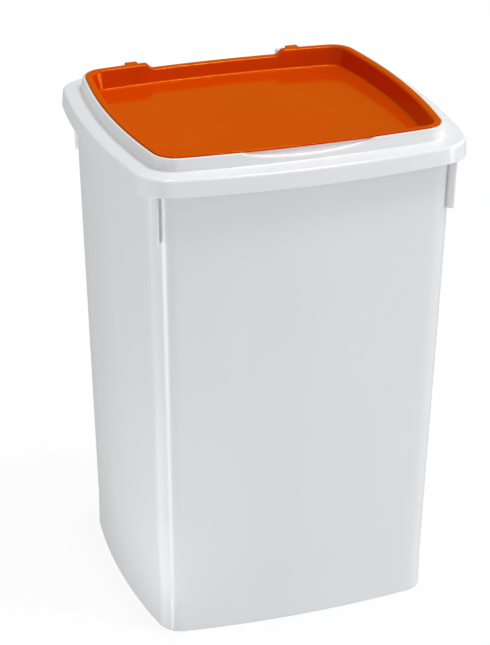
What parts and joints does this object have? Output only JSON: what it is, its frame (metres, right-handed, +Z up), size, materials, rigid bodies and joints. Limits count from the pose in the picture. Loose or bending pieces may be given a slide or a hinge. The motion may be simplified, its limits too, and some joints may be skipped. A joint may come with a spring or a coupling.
{
  "type": "pet food bin",
  "caption": "Tall tapered plastic bin for dry pet food, with a lift-off lid frame and a sunken flap that hinges open at the back.",
  "frame": {"origin": "middle of the foot, on the floor", "axes": "+Z up, +Y to the rear (the hinge side), -Y to the front (the finger scoop), +X to the right seen from the front"},
  "size_m": [0.35, 0.32, 0.511],
  "materials": {
    "tub_plastic": "satin white moulded polypropylene",
    "frame_plastic": "semi-gloss white moulded polypropylene",
    "flap_plastic": "glossy orange moulded polypropylene"
  },
  "bodies": {
    "tub": {"tub": "tub_plastic"},
    "lid_frame": {"lid_frame": "frame_plastic"},
    "flap": {"flap": "flap_plastic"}
  },
  "joints": [
    {"name": "frame_lift", "type": "slide", "parent": "tub", "child": "lid_frame", "axis": [0, 0, 1], "range_m": [0, 0.06]},
    {"name": "flap_hinge", "type": "hinge", "parent": "lid_frame", "child": "flap", "pos_m": [0, 0.145, 0.5063], "axis": [-1, 0, 0], "range_deg": [0, 110]}
  ]
}
